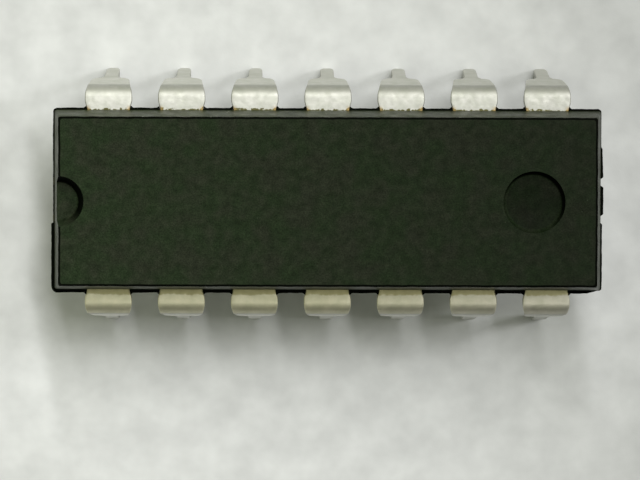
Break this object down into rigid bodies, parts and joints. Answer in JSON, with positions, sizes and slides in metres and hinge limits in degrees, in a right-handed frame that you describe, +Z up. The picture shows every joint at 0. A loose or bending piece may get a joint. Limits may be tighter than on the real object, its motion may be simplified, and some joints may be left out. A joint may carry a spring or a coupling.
{
  "type": "dip integrated circuit chip",
  "caption": "Moulded dual in-line package chip with an end notch, two rows of bent and splayed tinned leads, and its lead frame, die and bond wires inside.",
  "frame": {"origin": "centre of the package's footprint, on the surface that the lead tips stand on", "axes": "+Z up through the top face, +X along the rows away from the notched end, +Y towards the rear row"},
  "size_m": [0.0192, 0.009, 0.0069],
  "materials": {
    "mould_compound": "matte moulded epoxy, olive black",
    "tinned_lead": "satin solder-tinned sheet, yellowed next to the body",
    "frame_metal": "stamped copper alloy sheet",
    "adhesive": "silver-filled epoxy",
    "silicon": "polished silicon",
    "gold_wire": "bright gold"
  },
  "bodies": {
    "root": {"body": "mould_compound", "die_paddle": "frame_metal", "die_attach": "adhesive", "silicon_die": "silicon", "lead_01": "tinned_lead", "lead_02": "tinned_lead", "lead_03": "tinned_lead", "lead_04": "tinned_lead", "lead_05": "tinned_lead", "lead_06": "tinned_lead", "lead_07": "tinned_lead", "lead_08": "tinned_lead", "lead_09": "tinned_lead", "lead_10": "tinned_lead", "lead_11": "tinned_lead", "lead_12": "tinned_lead", "lead_13": "tinned_lead", "lead_14": "tinned_lead", "bond_wire_01": "gold_wire", "bond_wire_02": "gold_wire", "bond_wire_03": "gold_wire", "bond_wire_04": "gold_wire", "bond_wire_05": "gold_wire", "bond_wire_06": "gold_wire", "bond_wire_07": "gold_wire", "bond_wire_08": "gold_wire", "bond_wire_09": "gold_wire", "bond_wire_10": "gold_wire", "bond_wire_11": "gold_wire", "bond_wire_12": "gold_wire", "bond_wire_13": "gold_wire", "bond_wire_14": "gold_wire"}
  },
  "joints": []
}
